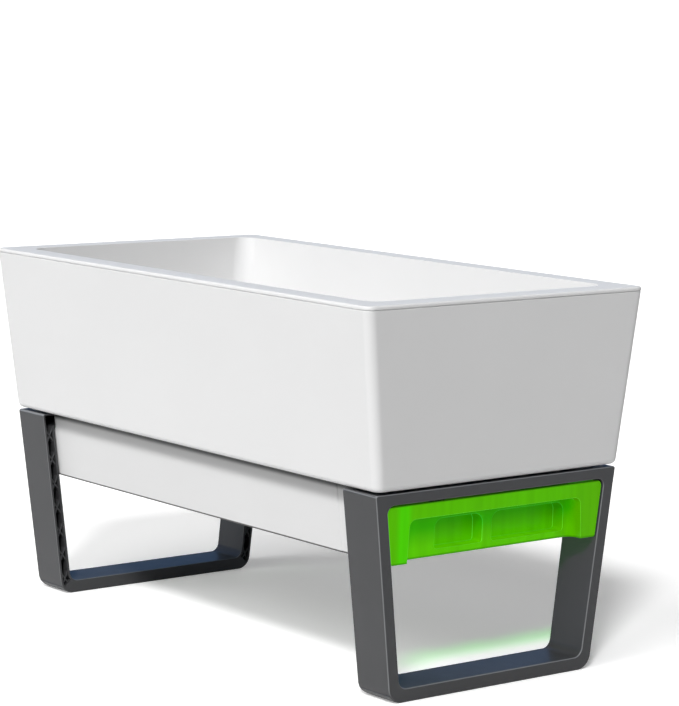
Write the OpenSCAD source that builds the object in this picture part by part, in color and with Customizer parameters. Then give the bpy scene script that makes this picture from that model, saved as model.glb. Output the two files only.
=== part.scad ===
// Self-watering planter box on two loop frames.
// A tapered outer shell carries a soil liner, and two water trays slide in from the ends.
// X runs along the length, Y across, Z up. The origin is on the floor under the middle.

/* [Planter box] */
// Length over the rim
rim_l = 1000; // [940:10:1060]
// Width over the rim
rim_w = 530; // [500:5:560]
// Height of the rim above the floor
total_h = 580; // [540:5:640]
// How much the box widens from base to rim at each end
end_flare = 13; // [6:0.5:20]
// How much the box widens from base to rim at each side
side_flare = 32; // [24:0.5:38]
// Radius of the upright corners
corner_r = 15; // [12:1:20]
// Radius of the edge round the base
base_edge_r = 8; // [5:1:8]
// Wall of the outer shell
shell_wall = 4; // [3:0.5:5]
// Floor of the outer shell
shell_floor = 4; // [3:0.5:6]
// Height of the ribs and bosses that stand on the shell's floor
floor_rib_h = 15; // [12:1:25]
// Thickness of the ribs on the shell's floor
floor_rib_t = 3; // [2:0.5:5]
// How far the long floor ribs lie from the middle, as a share of the base's width
floor_rib_y_share = 0.204; // [0.172:0.004:0.236]
// How far the outer cross ribs lie from the middle, as a share of the base's length
floor_rib_x_share = 0.236; // [0.221:0.001:0.246]

/* [Soil liner] */
// Width of the flat rim
rim_flange_w = 42; // [36:1:50]
// Thickness of the rim
rim_t = 6; // [5:0.5:8]
// Radius of the rim's outer lip
rim_lip_r = 4; // [2:0.5:4.5]
// Height and depth of the shadow groove under the rim
rim_groove = 1.2; // [0.8:0.1:2]
// Wall of the liner
liner_wall = 3.5; // [3:0.5:5]
// Floor of the liner
liner_floor = 4; // [3:0.5:6]
// Radius of the liner's upright corners, inside
liner_corner_r = 28; // [20:1:35]
// Radius of the edge round the liner's floor, outside
liner_edge_r = 12; // [8:1:14]
// How much more than the shell the liner draws in from rim to floor, each side
liner_draft = 3; // [1:0.5:6]
// Depth of the locating skirt under the rim
skirt_h = 14; // [10:1:20]
// Thickness of the locating skirt
skirt_t = 2.5; // [2:0.5:3]
// Height of the webs between skirt and liner
web_h = 34; // [20:2:50]
// Thickness of those webs
web_t = 2.5; // [2:0.5:4]
// Spacing of the webs along the long sides
web_pitch = 150; // [120:5:180]

/* [Leg frames] */
// Height of a frame
frame_h = 308; // [290:2:330]
// How far a frame's side stands in from the box's base edge
frame_side_setback = 2.5; // [1:0.5:5]
// How far a frame's outer face stands in from the box's end
frame_end_setback = 5; // [3:0.5:8]
// How far each foot draws in below the frame's top, crossways
leg_lean = 37.5; // [30:0.5:42]
// How far the outer face draws in from top to foot
outer_lean = 7; // [4:0.5:10]
// Depth of the frame along the box, at the top
frame_depth_top = 77; // [72:1:84]
// Depth of the frame along the box, at the foot
frame_depth_base = 72; // [68:1:80]
// Width of a leg, seen from the end
leg_w = 19.5; // [18:0.5:23]
// Height of the top bar
top_bar_h = 17; // [16:0.5:22]
// Height of the bottom bar
bottom_bar_h = 20.5; // [16:0.5:26]
// Wall of the frame moulding
frame_wall = 4; // [3:0.5:5]
// Radius of the frame's lower corners
foot_r = 24; // [18:1:30]
// Radius of the frame's upper corners
frame_top_r = 3; // [2:0.5:6]
// Radius of the window's lower corners
window_base_r = 15; // [8:1:20]
// Radius of the window's upper corners
window_top_r = 12; // [9:1:14]
// Number of cross braces in a leg
brace_count = 7; // [3:1:7]
// Spacing of the cross braces, as a share of the frame's height
brace_pitch_share = 0.133; // [0.117:0.001:0.136]
// How far the highest crossing lies below the frame's top
brace_top_drop = 37; // [28:1:43]
// Height of one cross brace, as a share of their spacing
brace_h_share = 0.488; // [0.34:0.004:0.64]
// Thickness of a brace's arms
brace_t = 2.4; // [1.6:0.2:3.2]
// How far the braces lie behind the frame's edge
brace_recess = 2; // [1:0.5:6]
// Number of pockets under the bottom bar
foot_pocket_count = 6; // [4:2:8]

/* [Side aprons] */
// How far the apron's face lies behind the leg's side
apron_inset = 21.5; // [20:0.5:23]
// Wall of the apron
apron_wall = 3; // [2.5:0.5:4]
// Height of an apron
apron_h = 108.5; // [98:0.5:116]
// Length of the lower strip at one end
apron_strip_l = 42; // [36:1:50]
// How far that strip lies below the face
apron_strip_drop = 1; // [0.5:0.5:1.5]
// Width of the top flange
apron_flange_w = 22; // [20:1:26]
// Width of the stiffening lip along the lower edge
apron_lip_w = 5; // [3:0.5:6]
// Width of the rail that a tray hangs on
rail_w = 10; // [8:0.5:10.5]
// Thickness of the rail
rail_t = 4; // [3:0.5:6]
// Height of the gussets under the rail
gusset_h = 20; // [12:1:30]
// Number of gussets along an apron
gusset_count = 7; // [3:2:9]
// Thickness of a gusset
gusset_t = 2.5; // [2:0.5:4]

/* [Water trays] */
// Height of a tray
tray_h = 86; // [80:0.5:94]
// Wall of a tray
tray_wall = 3; // [2.5:0.5:3.5]
// Radius of the edge round a tray's floor
tray_edge_r = 12; // [8:1:14]
// Radius of a tray's upright corners
tray_corner_r = 16; // [15:1:20]
// How much the body draws in from top to floor, each side
tray_draft = 6; // [3:0.5:10]
// Gap between the two trays
tray_mid_gap = 12; // [8:1:20]
// Width of the flange that hangs on the rail
tray_flange_w = 11; // [10:0.5:11.5]
// How far the front stands behind the frame's outer face
front_setback = 3; // [2:0.5:6]
// Height of the band above the finger recess
front_band_h = 22.5; // [18:0.5:28]
// How far the finger recess stands in from the front's side, at the top
recess_margin = 42.5; // [39:0.5:52]
// How much the recess widens from top to bottom, each side
recess_flare = 3.5; // [1:0.5:8]
// Depth of the finger recess behind the frame's outer face
recess_depth = 25; // [20:0.5:28]
// Radius of the recess's upper corners
recess_r = 12; // [6:1:16]
// Radius where the recess's sides meet its back
recess_back_r = 14; // [10:1:15]
// Radius of the front's upper corners
front_top_r = 9; // [6:0.5:12]
// Radius of the front's lower corners
front_base_r = 3; // [2:0.5:4]
// Half width of the rib between the two grip pockets
pocket_rib_half = 9; // [6:0.5:12]
// How far the narrow grip pocket reaches out, as a share of the recess's half width
pocket_narrow_share = 0.61; // [0.55:0.01:0.78]
// How far the wide grip pocket reaches out, as a share of the recess's half width
pocket_wide_share = 0.914; // [0.79:0.002:0.92]
// Depth of the grip pockets
pocket_depth = 22; // [14:1:26]
// Height of a pocket's lower edge above the tray's underside
pocket_base_h = 10.5; // [10:0.5:16]
// How far a pocket's upper edge lies below the recess's roof
pocket_top_drop = 8.5; // [7.5:0.5:19]
// Radius of a pocket's upper corners
pocket_top_r = 15; // [8:1:16]
// Radius of a pocket's lower corners
pocket_base_r = 5; // [3:0.5:8]
// Radius of the overflow holes
overflow_r = 5; // [3:0.5:7]
// Height of the overflow holes' centre below a tray's top
overflow_drop = 14; // [12:1:20]
// How far the overflow holes lie from the middle
overflow_y = 60; // [30:5:120]

/* [Wick pots] */
// How far the inner pots lie from the middle, as a share of the base's length
pot_inner_share = 0.123; // [0.103:0.002:0.143]
// How far the outer pots lie from the middle, as a share of the base's length
pot_outer_share = 0.349; // [0.329:0.002:0.353]
// Radius of a pot under its flange
pot_r = 34; // [30:1:36]
// How much a pot's radius draws in to its bottom
pot_draft = 4; // [2:0.5:6]
// Radius of a pot's flange
pot_flange_r = 42; // [41:1:46]
// Thickness of a pot's flange
pot_flange_t = 3; // [2:0.5:4]
// Wall of a pot
pot_wall = 2.5; // [2:0.5:3.5]
// Number of slots round a pot
slot_count = 8; // [4:1:10]
// Width of a slot
slot_w = 5; // [3:0.5:7]
// Height of a slot
slot_h = 22; // [12:1:24]
// Radius of the drain holes in a pot's floor
drain_r = 3; // [2:0.5:4]

/* [Wicks] */
// Width of a wick strip
wick_w = 30; // [20:1:34]
// Thickness of a wick strip
wick_t = 3; // [2:0.5:4]
// How far a wick stands up above its pot
wick_rise = 12; // [5:1:20]

/* [Screws] */
// Radius of a screw's shank
screw_r = 2.5; // [2:0.1:3]
// Radius of a screw's head
screw_head_r = 5; // [4:0.5:6]
// Height of a screw's head
screw_head_h = 3.2; // [2.5:0.1:4]
// How far a screw reaches into its boss above the shell's floor
screw_bite = 9; // [6:0.5:10]
// Wall of the boss round a screw's hole
boss_wall = 4; // [3:0.5:5]
// How far the inner frame screws lie from the middle, as a share of the frame's half width
frame_screw_in_share = 0.26; // [0.22:0.01:0.32]
// How far the outer frame screws lie from the middle, as a share of the frame's half width
frame_screw_out_share = 0.738; // [0.608:0.005:0.778]
// How far the inner apron screws lie from the middle, as a share of the base's half length
apron_screw_in_share = 0.36; // [0.35:0.005:0.4]
// How far the outer apron screws lie from the middle, as a share of the base's half length
apron_screw_out_share = 0.72; // [0.62:0.005:0.735]

/* [Clearances] */
// Height of the seats that hold the box off the frames
seat_gap = 4; // [3:0.5:6]
// Gap between a tray's front and the window, all round
window_gap = 2; // [1.5:0.5:3]
// Gap between a tray's body and the rail beside it
tray_side_gap = 3.8; // [3.4:0.2:6]
// Gap between a tray's flange and its rail
glide_gap = 0.3; // [0.2:0.1:0.5]
// Gap round a screw in its hole
screw_gap = 0.2; // [0.1:0.1:0.4]
// Gap between an apron's end and the frame
end_gap = 0.3; // [0.2:0.1:0.5]
// Gap between skirt and shell
skirt_gap = 0.6; // [0.4:0.1:1]
// Gap round a pot in the liner's floor
pot_gap = 1; // [0.5:0.1:1.5]
// Gap round a pot in the shell's floor
pot_shell_gap = 4; // [2:0.5:6]
// Gap between a pot's bottom and the trays
pot_lift = 6.5; // [4:0.5:10]
// Gap between a wick and the tray's floor
wick_lift = 3; // [2:0.5:8]
// Gap round a wick in its pot's slot
wick_gap = 0.3; // [0.2:0.1:0.8]

/* [Hidden] */
$fn = 48;
// Segments of the round corners inside a hull
soft_fn = 32;
// Steps in a rounded edge of a hull
edge_steps = 4;
// Steps in a round corner that is drawn as points
arc_steps = 8;
// Overrun of every cut, and the thickness of a hull's slices
cut = 5;
slice = 0.01;

// Length and width of the box at its base
base_l = rim_l - 2 * end_flare;
base_w = rim_w - 2 * side_flare;

// Heights
base_z = frame_h + seat_gap;
floor_top_z = base_z + shell_floor;
liner_z = floor_top_z + floor_rib_h;
liner_top_z = liner_z + liner_floor;
shell_top_z = total_h - rim_t;
tray_top_z = frame_h - top_bar_h - window_gap;
tray_base_z = tray_top_z - tray_h;
apron_base_z = base_z - apron_h;
flange_z = tray_top_z - tray_wall;
rail_top_z = flange_z - glide_gap;
pot_base_z = tray_top_z + pot_lift;
pot_top_z = liner_top_z + pot_flange_t;

// Leg frame
frame_top_w = base_w - 2 * frame_side_setback;
out_top = base_l / 2 - frame_end_setback;
in_top = out_top - frame_depth_top;
out_base = out_top - outer_lean;
in_base = out_base - frame_depth_base;
lean = atan(leg_lean / frame_h);
frame_screw_x = (in_top + out_top) / 2;
brace_pitch = brace_pitch_share * frame_h;
brace_h = brace_h_share * brace_pitch;
brace_top_z = frame_h - brace_top_drop;
frame_screw_in = frame_screw_in_share * frame_top_w / 2;
frame_screw_out = frame_screw_out_share * frame_top_w / 2;

// Places that follow the box's length and width
pot_inner_x = pot_inner_share * base_l;
pot_outer_x = pot_outer_share * base_l;
apron_screw_in = apron_screw_in_share * base_l / 2;
apron_screw_out = apron_screw_out_share * base_l / 2;
floor_rib_x = floor_rib_x_share * base_l;
floor_rib_y = floor_rib_y_share * base_w;

// Half width of a leg frame, its outer face and its inner face at height z
function half_at(z) = frame_top_w / 2 - leg_lean * (frame_h - z) / frame_h;
function out_at(z) = out_base + (out_top - out_base) * z / frame_h;
function in_at(z) = in_base + (in_top - in_base) * z / frame_h;

// Half length and half width of the box at height z
function taper(z) = (z - base_z) / (total_h - base_z);
function box_half_l(z) = base_l / 2 + (rim_l - base_l) / 2 * taper(z);
function box_half_w(z) = base_w / 2 + (rim_w - base_w) / 2 * taper(z);

// An apron's half width at height z, d behind its face
function apron_at(z, d) = half_at(z) - apron_inset - d;

// Half width of a tray's body at the top, of its finger recess, and the widths of its grip pockets
tray_half_top = apron_at(rail_top_z, apron_wall + rail_w) - tray_side_gap;
recess_half = half_at(tray_top_z) - leg_w - window_gap - recess_margin;
pocket_narrow_w = pocket_narrow_share * recess_half - pocket_rib_half;
pocket_wide_w = pocket_wide_share * recess_half - pocket_rib_half;
pocket_top_h = tray_h - front_band_h - pocket_top_drop;

// One slice of a lofted block: height, low X, high X, half width and corner radius
function box_level(z, inset) =
    [z, inset - box_half_l(z), box_half_l(z) - inset, box_half_w(z) - inset, corner_r - inset];

// Levels of a rounded lower edge of radius r, from the flat underside to the wall
function edge_angles() = [for (i = [0 : edge_steps]) 90 * i / edge_steps];

// Block lofted through a list of levels
module loft(levels) {
    hull()
        for (l = levels, x = [l[1] + l[4], l[2] - l[4]], y = [l[4] - l[3], l[3] - l[4]])
            translate([x, y, l[0]])
                cylinder(r = l[4], h = slice, $fn = soft_fn);
}

// Prism along X from a shape drawn in Y and Z
module along_x(x0, x1) {
    translate([x0, 0, 0])
        rotate([90, 0, 90])
            linear_extrude(x1 - x0)
                children();
}

// Prism along Y, centred, from a shape drawn in X and Z
module across_y(w) {
    rotate([90, 0, 0])
        linear_extrude(w, center = true)
            children();
}

// Centre of a round corner of radius r at height z, drawn in by inset from the frame's side
function corner_at(inset, z, r) = [half_at(z) - inset - r / cos(lean), z];

// Leaning outline with true round corners, drawn in by inset from the frame's side
module leaning_outline(inset, z_lo, z_hi, r_lo, r_hi) {
    lo = corner_at(inset, z_lo + r_lo, r_lo);
    hi = corner_at(inset, z_hi - r_hi, r_hi);
    out = [cos(lean), -sin(lean)];
    side = [[lo.x, z_lo], lo + r_lo * out, hi + r_hi * out, [hi.x, z_hi]];
    polygon(concat(side, [for (i = [3 : -1 : 0]) [-side[i].x, side[i].y]]));
    for (s = [-1, 1]) {
        translate([s * lo.x, lo.y])
            circle(r_lo);
        translate([s * hi.x, hi.y])
            circle(r_hi);
    }
}

// The same outline as one run of points, for a thin wall whose two sides follow it
function arc_points(c, r, a0, a1) = [for (i = [0 : arc_steps])
    let (a = a0 + (a1 - a0) * i / arc_steps)
    c + r * [cos(a), sin(a)]];
module leaning_points(inset, z_lo, z_hi, r_lo, r_hi) {
    lo = corner_at(inset, z_lo + r_lo, r_lo);
    hi = corner_at(inset, z_hi - r_hi, r_hi);
    side = concat(arc_points(lo, r_lo, -90, -lean), arc_points(hi, r_hi, -lean, 90));
    polygon(concat(side, [for (i = [len(side) - 1 : -1 : 0]) [-side[i].x, side[i].y]]));
}

// Rectangle with round corners, from low corner a to high corner b
module round_rect(a, b, r_lo, r_hi) {
    polygon([[a.x + r_lo, a.y], [b.x - r_lo, a.y], [b.x, a.y + r_lo], [b.x, b.y - r_hi],
        [b.x - r_hi, b.y], [a.x + r_hi, b.y], [a.x, b.y - r_hi], [a.x, a.y + r_lo]]);
    for (x = [a.x + r_lo, b.x - r_lo])
        translate([x, a.y + r_lo])
            circle(r_lo);
    for (x = [a.x + r_hi, b.x - r_hi])
        translate([x, b.y - r_hi])
            circle(r_hi);
}

// Slab between the frame's two leaning faces, drawn in at each
module depth_slab(from_in, from_out) {
    z0 = -cut;
    z1 = frame_h + cut;
    across_y(base_w + cut)
        polygon([[in_at(z0) + from_in, z0], [out_at(z0) - from_out, z0],
            [out_at(z1) - from_out, z1], [in_at(z1) + from_in, z1]]);
}

// Places of the screws
module at_frame_screws() {
    for (y = [-frame_screw_out, -frame_screw_in, frame_screw_in, frame_screw_out])
        translate([frame_screw_x, y, 0])
            children();
}
apron_screw_y = apron_at(base_z, (apron_flange_w + apron_wall) / 2);
module at_apron_screws() {
    for (x = [-apron_screw_out, -apron_screw_in, apron_screw_in, apron_screw_out])
        translate([x, apron_screw_y, 0])
            children();
}
module at_pots() {
    for (x = [-pot_outer_x, -pot_inner_x, pot_inner_x, pot_outer_x])
        translate([x, 0, 0])
            children();
}

// Screw boss on the shell's floor
boss_r = screw_r + screw_gap + boss_wall;
module floor_boss() {
    translate([0, 0, base_z])
        cylinder(r = boss_r, h = shell_floor + floor_rib_h);
}
module floor_bore(z0) {
    translate([0, 0, z0 - cut])
        cylinder(r = screw_r + screw_gap, h = floor_top_z + screw_bite + screw_gap - z0 + cut);
}

// Outer shell: tapered walls, floor ribs, screw bosses and the seats for the frames
module planter_shell() {
    neck_z = shell_top_z - rim_groove;
    rib_end = box_half_l(floor_top_z) - shell_wall / 2;
    rib_side = box_half_w(floor_top_z) - shell_wall / 2;
    color("white")
    difference() {
        union() {
            difference() {
                union() {
                    loft(concat([for (a = edge_angles())
                        box_level(base_z + base_edge_r * (1 - cos(a)), base_edge_r * (1 - sin(a)))],
                        [box_level(neck_z - slice, 0)]));
                    loft([box_level(neck_z - rim_groove, rim_groove),
                        box_level(shell_top_z - slice, rim_groove)]);
                }
                loft([box_level(floor_top_z, shell_wall), box_level(shell_top_z + cut, shell_wall)]);
            }
            for (y = [-floor_rib_y, floor_rib_y])
                translate([-rib_end, y - floor_rib_t / 2, floor_top_z - slice])
                    cube([2 * rib_end, floor_rib_t, floor_rib_h + slice]);
            for (x = [-frame_screw_x, -floor_rib_x, 0, floor_rib_x, frame_screw_x])
                translate([x - floor_rib_t / 2, -rib_side, floor_top_z - slice])
                    cube([floor_rib_t, 2 * rib_side, floor_rib_h + slice]);
            for (s = [0, 180])
                rotate(s) {
                    at_frame_screws() {
                        floor_boss();
                        translate([0, 0, frame_h])
                            cylinder(r = 2 * boss_r, h = seat_gap + shell_floor / 2);
                    }
                    at_apron_screws()
                        floor_boss();
                }
        }
        for (s = [0, 180])
            rotate(s) {
                at_frame_screws()
                    floor_bore(frame_h);
                at_apron_screws()
                    floor_bore(base_z);
            }
        at_pots()
            translate([0, 0, base_z - cut])
                cylinder(r = pot_r + pot_shell_gap, h = shell_floor + 2 * cut);
    }
}

// Liner's inside and outside at height z, drawn out by grow
function liner_level(z, grow) =
    let (inset = rim_flange_w + liner_draft * (total_h - z) / (total_h - liner_z) - grow)
    [z, inset - box_half_l(z), box_half_l(z) - inset, box_half_w(z) - inset, liner_corner_r + grow];

// Soil liner: tub with a wide flat rim, a skirt that locates it in the shell, and webs
module soil_liner() {
    skirt_z = shell_top_z - skirt_h;
    skirt_l = box_half_l(skirt_z) - shell_wall - skirt_gap;
    skirt_w = box_half_w(skirt_z) - shell_wall - skirt_gap;
    skirt_r = corner_r - shell_wall;
    wall_x = liner_level(shell_top_z, liner_wall / 2)[2];
    wall_y = liner_level(shell_top_z, liner_wall / 2)[3];
    foot_y = liner_level(shell_top_z - web_h, liner_wall / 2)[3];
    foot_x = liner_level(shell_top_z - web_h, liner_wall / 2)[2];
    color("whitesmoke")
    difference() {
        union() {
            loft(concat([box_level(shell_top_z, 0)],
                [for (a = edge_angles()) box_level(total_h - rim_lip_r * (1 - cos(90 - a)) - slice,
                    rim_lip_r * (1 - cos(a)))]));
            loft(concat([for (a = edge_angles()) liner_level(liner_z + liner_edge_r * (1 - cos(a)),
                liner_wall - liner_edge_r * (1 - sin(a)))], [liner_level(total_h - slice, liner_wall)]));
            difference() {
                along_z(skirt_z, shell_top_z + slice)
                    round_rect([-skirt_l, -skirt_w], [skirt_l, skirt_w], skirt_r, skirt_r);
                along_z(skirt_z - cut, shell_top_z)
                    round_rect([skirt_t - skirt_l, skirt_t - skirt_w],
                        [skirt_l - skirt_t, skirt_w - skirt_t], skirt_r - skirt_t, skirt_r - skirt_t);
            }
            for (i = [-2 : 2])
                along_x(i * web_pitch - web_t / 2, i * web_pitch + web_t / 2)
                    for (s = [-1, 1])
                        polygon([[s * wall_y, shell_top_z + slice], [s * (skirt_w - skirt_t / 2),
                            shell_top_z + slice], [s * (skirt_w - skirt_t / 2), skirt_z],
                            [s * foot_y, shell_top_z - web_h]]);
            for (i = [-1 : 1])
                translate([0, i * web_pitch * 2 / 3, 0])
                    across_y(web_t)
                        for (s = [-1, 1])
                            polygon([[s * wall_x, shell_top_z + slice], [s * (skirt_l - skirt_t / 2),
                                shell_top_z + slice], [s * (skirt_l - skirt_t / 2), skirt_z],
                                [s * foot_x, shell_top_z - web_h]]);
        }
        loft([liner_level(liner_top_z, 0), liner_level(total_h + cut, 0)]);
        at_pots()
            translate([0, 0, liner_z - cut])
                cylinder(r = pot_r + pot_gap, h = liner_floor + 2 * cut);
    }
}

// Prism along Z from a plan
module along_z(z0, z1) {
    translate([0, 0, z0])
        linear_extrude(z1 - z0)
            children();
}

// Loop frame: closed outside and bottom, open channel with cross braces towards the middle
module leg_frame() {
    color("dimgray")
    difference() {
        union() {
            difference() {
                intersection() {
                    along_x(in_base - cut, out_top + cut)
                        leaning_outline(0, 0, frame_h, foot_r, frame_top_r);
                    depth_slab(0, 0);
                }
                frame_channel();
                foot_pockets();
            }
            for (s = [0, 1])
                mirror([0, s, 0])
                    leg_braces();
            at_frame_screws()
                translate([0, 0, frame_h - top_bar_h])
                    cylinder(r = screw_head_r + 2 * screw_gap + boss_wall, h = top_bar_h - frame_wall / 2);
            for (y = [-1, 0, 1])
                translate([0, y * (frame_screw_in + frame_screw_out) / 2, 0])
                    top_bar_rib();
        }
        along_x(in_base - cut, out_top + cut)
            leaning_outline(leg_w, bottom_bar_h, frame_h - top_bar_h, window_base_r, window_top_r);
        at_frame_screws() {
            translate([0, 0, frame_h - top_bar_h - cut])
                cylinder(r = screw_head_r + 2 * screw_gap, h = top_bar_h - frame_wall + cut);
            translate([0, 0, frame_h - top_bar_h])
                cylinder(r = screw_r + screw_gap, h = top_bar_h + cut);
        }
    }
}

// Pockets under the bottom bar, with cross ribs between them
module foot_pockets() {
    reach = half_at(0) - foot_r - frame_wall;
    w = (2 * reach - (foot_pocket_count - 1) * frame_wall) / foot_pocket_count;
    intersection() {
        for (i = [0 : foot_pocket_count - 1])
            translate([in_base, i * (w + frame_wall) - reach, -cut])
                cube([frame_depth_top + outer_lean, w, bottom_bar_h - frame_wall + cut]);
        depth_slab(frame_wall, frame_wall);
    }
}

// Channel in the legs and the top bar, open on the inner face
module frame_channel() {
    wall_in = leg_w - frame_wall;
    z1 = frame_h - top_bar_h + frame_wall;
    intersection() {
        along_x(in_base - cut, out_top)
            difference() {
                leaning_outline(frame_wall, frame_wall, frame_h - frame_wall,
                    foot_r - frame_wall, frame_top_r);
                polygon([[half_at(-cut) - wall_in, -cut], [half_at(z1) - wall_in, z1],
                    [wall_in - half_at(z1), z1], [wall_in - half_at(-cut), -cut]]);
            }
        depth_slab(-cut, frame_wall);
    }
}

// Cross braces of one leg
module leg_braces() {
    channel_w = leg_w - 2 * frame_wall;
    reach = (channel_w + frame_wall) / channel_w;
    arm = reach * sqrt(channel_w ^ 2 + brace_h ^ 2);
    intersection() {
        along_x(in_base, out_top)
            for (i = [0 : brace_count - 1]) {
                z = brace_top_z - i * brace_pitch;
                for (s = [-1, 1])
                    translate([half_at(z) - leg_w / 2, z])
                        rotate(s * atan(brace_h / channel_w) - lean)
                            square([arm, brace_t], center = true);
            }
        depth_slab(brace_recess, frame_wall / 2);
    }
}

// Upright rib in the top bar's channel
module top_bar_rib() {
    intersection() {
        translate([in_base, -brace_t / 2, frame_h - top_bar_h + frame_wall / 2])
            cube([frame_depth_top + outer_lean, brace_t, top_bar_h - frame_wall]);
        depth_slab(brace_recess, frame_wall / 2);
    }
}

// Apron for one long side, drawn on the +Y side
module side_apron() {
    x_max = in_top + cut;
    zt = base_z;
    zb = apron_base_z;
    zr = rail_top_z;
    color("snow")
    difference() {
        union() {
            intersection() {
                along_x(-x_max, x_max) {
                    polygon([[apron_at(zb, 0), zb], [apron_at(zt, 0), zt],
                        [apron_at(zt, apron_wall), zt], [apron_at(zb, apron_wall), zb]]);
                    translate([apron_at(zt, apron_flange_w), zt - apron_wall])
                        square([apron_flange_w - apron_wall / 2, apron_wall]);
                    translate([apron_at(zb, apron_wall + apron_lip_w), zb])
                        square([apron_lip_w + apron_wall / 2, apron_wall]);
                    translate([apron_at(zr, apron_wall + rail_w), zr - rail_t])
                        square([rail_w + apron_wall / 2, rail_t]);
                }
                apron_length();
            }
            for (i = [0 : gusset_count - 1])
                apron_gusset((i - (gusset_count - 1) / 2) * 2 * (in_base - apron_strip_l) / gusset_count);
        }
        along_x(-x_max, apron_strip_l - in_top)
            polygon([[apron_at(zb - cut, apron_strip_drop), zb - cut], [apron_at(zb - cut, -cut), zb - cut],
                [apron_at(zt + cut, -cut), zt + cut], [apron_at(zt + cut, apron_strip_drop), zt + cut]]);
        at_apron_screws()
            translate([0, 0, zt - apron_wall - cut])
                cylinder(r = screw_r + screw_gap, h = apron_wall + 2 * cut);
    }
}

// Block between the two frames' inner faces
module apron_length() {
    z0 = -cut;
    z1 = base_z + cut;
    x0 = in_at(z0) - end_gap;
    x1 = in_at(z1) - end_gap;
    across_y(base_w + cut)
        polygon([[-x0, z0], [x0, z0], [x1, z1], [-x1, z1]]);
}

// Gussets under the top flange and under the rail
module apron_gusset(x) {
    zf = base_z - apron_wall / 2;
    zr = rail_top_z - rail_t / 2;
    z_hi = tray_top_z + window_gap;
    z_lo = zr - gusset_h;
    half_wall = apron_wall / 2;
    along_x(x - gusset_t / 2, x + gusset_t / 2) {
        polygon([[apron_at(zf, half_wall), zf], [apron_at(zf, apron_flange_w - half_wall), zf],
            [apron_at(z_hi, apron_wall), z_hi], [apron_at(z_hi, half_wall), z_hi]]);
        polygon([[apron_at(zr, half_wall), zr], [apron_at(zr, rail_w), zr],
            [apron_at(z_lo, apron_wall), z_lo], [apron_at(z_lo, half_wall), z_lo]]);
    }
}

// Tray's body at height z, drawn in by inset; it ends inside the front, where the recess cuts it
body_end_depth = recess_depth - 2 * tray_wall;
function tray_level(z, inset) =
    [z, tray_mid_gap / 2 + inset, out_at(z) - body_end_depth - inset,
        tray_half_top - tray_draft * (tray_top_z - z) / tray_h - inset,
        max(tray_corner_r - inset, slice)];

// Finger recess at height z, drawn out by grow
function recess_level(z, grow) =
    let (r = recess_back_r + grow, share = (tray_top_z - front_band_h - z) / (tray_h - front_band_h))
    [z, out_at(z) - recess_depth - grow, out_at(z) + cut + r,
        recess_half + recess_flare * share + grow, r];

// Finger recess and grip pockets, with their walls drawn out by grow
module grip_space(grow) {
    z_roof = tray_top_z - front_band_h + grow;
    z_low = tray_base_z - cut;
    r = recess_r + grow;
    wide = recess_level(z_low, grow)[3] + cut;
    corner_y = recess_level(z_roof - r, grow)[3] - r;
    intersection() {
        loft([recess_level(z_low, grow), recess_level(z_roof + cut, grow)]);
        along_x(in_base, out_top + 2 * cut + 2 * r + recess_back_r) {
            translate([-wide, z_low - cut])
                square([2 * wide, z_roof - r - z_low + cut]);
            translate([-corner_y, z_roof - r - cut])
                square([2 * corner_y, r + cut]);
            for (s = [-1, 1])
                translate([s * corner_y, z_roof - r])
                    circle(r);
        }
    }
    intersection() {
        along_x(in_base, out_top)
            for (y = [-pocket_rib_half - pocket_narrow_w, pocket_rib_half]) {
                w = y < 0 ? pocket_narrow_w : pocket_wide_w;
                round_rect([y - grow, tray_base_z + pocket_base_h - grow],
                    [y + w + grow, tray_base_z + pocket_top_h + grow],
                    pocket_base_r + grow, pocket_top_r + grow);
            }
        pocket_slab(recess_depth + pocket_depth + grow);
    }
}

// Slab from the given depth behind the frame's outer face to just past the recess
module pocket_slab(depth) {
    z0 = -cut;
    z1 = frame_h + cut;
    across_y(base_w + cut)
        polygon([[out_at(z0) - depth, z0], [out_at(z0) - recess_depth + cut, z0],
            [out_at(z1) - recess_depth + cut, z1], [out_at(z1) - depth, z1]]);
}

// Water tray: open tank that hangs on the rails, with a moulded front that fills the window
module water_tray() {
    edge_levels = [for (a = edge_angles())
        tray_level(tray_base_z + tray_edge_r * (1 - cos(a)), tray_edge_r * (1 - sin(a)))];
    inner_r = tray_edge_r - tray_wall;
    inner_levels = [for (a = edge_angles())
        tray_level(tray_base_z + tray_wall + inner_r * (1 - cos(a)), tray_wall + inner_r * (1 - sin(a)))];
    end_x = out_at(tray_base_z) - recess_depth - tray_corner_r;
    color("yellowgreen")
    difference() {
        union() {
            loft(concat(edge_levels, [tray_level(tray_top_z - slice, 0)]));
            front_block(0, 0);
            translate([tray_mid_gap / 2 + tray_corner_r, -tray_half_top - tray_flange_w, flange_z])
                cube([end_x - tray_mid_gap / 2 - tray_corner_r, 2 * (tray_half_top + tray_flange_w),
                    tray_wall]);
        }
        difference() {
            union() {
                loft(concat(inner_levels, [tray_level(tray_top_z + cut, tray_wall)]));
                front_block(tray_wall, cut);
            }
            grip_space(tray_wall);
        }
        grip_space(0);
        for (s = [-1, 1])
            translate([tray_mid_gap / 2 - cut, s * overflow_y, tray_top_z - overflow_drop])
                rotate([0, 90, 0])
                    cylinder(r = overflow_r, h = tray_wall + 2 * cut);
    }
}

// Block of the tray's front, drawn in by inset and raised at the top
module front_block(inset, raise) {
    back = recess_depth + tray_corner_r;
    z0 = -cut;
    z1 = frame_h + cut;
    intersection() {
        along_x(in_base, out_top)
            leaning_points(leg_w + window_gap + inset, tray_base_z + inset, tray_top_z + raise,
                front_base_r, front_top_r);
        across_y(base_w + cut)
            polygon([[out_at(z0) - back + inset, z0], [out_at(z0) - front_setback - inset, z0],
                [out_at(z1) - front_setback - inset, z1], [out_at(z1) - back + inset, z1]]);
    }
}

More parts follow.
